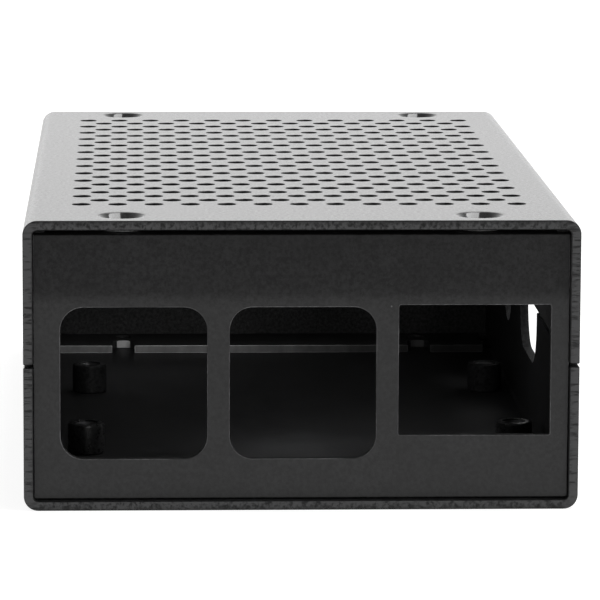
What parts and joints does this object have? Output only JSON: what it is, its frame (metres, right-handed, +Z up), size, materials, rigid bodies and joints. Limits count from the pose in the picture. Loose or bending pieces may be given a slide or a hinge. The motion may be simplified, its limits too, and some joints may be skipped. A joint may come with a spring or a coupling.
{
  "type": "single board computer case",
  "caption": "Low sheet-metal case for a small computer board: perforated folded cover on a folded tray, with port openings at the front.",
  "frame": {"origin": "bottom centre of the closed case, on the surface it stands on", "axes": "+Z up through the perforated cover, front panel with the port openings towards -Y, long side along Y"},
  "size_m": [0.0598, 0.1074, 0.0315],
  "materials": {
    "black_powder_coat": "fine textured satin black powder coat on sheet steel",
    "black_panel_coat": "fine textured satin black coat on the end panels",
    "coated_standoff": "black coat over turned steel, bare in the thread",
    "zinc_steel": "dull zinc plate"
  },
  "bodies": {
    "root": {"top_cover": "black_powder_coat", "bottom_tray": "black_powder_coat", "front_panel": "black_panel_coat", "rear_panel": "black_panel_coat", "standoff_front_left": "coated_standoff", "standoff_front_right": "coated_standoff", "standoff_rear_left": "coated_standoff", "standoff_rear_right": "coated_standoff", "press_nut_front_left": "zinc_steel", "press_nut_front_right": "zinc_steel", "press_nut_rear_left": "zinc_steel", "press_nut_rear_right": "zinc_steel"}
  },
  "joints": []
}
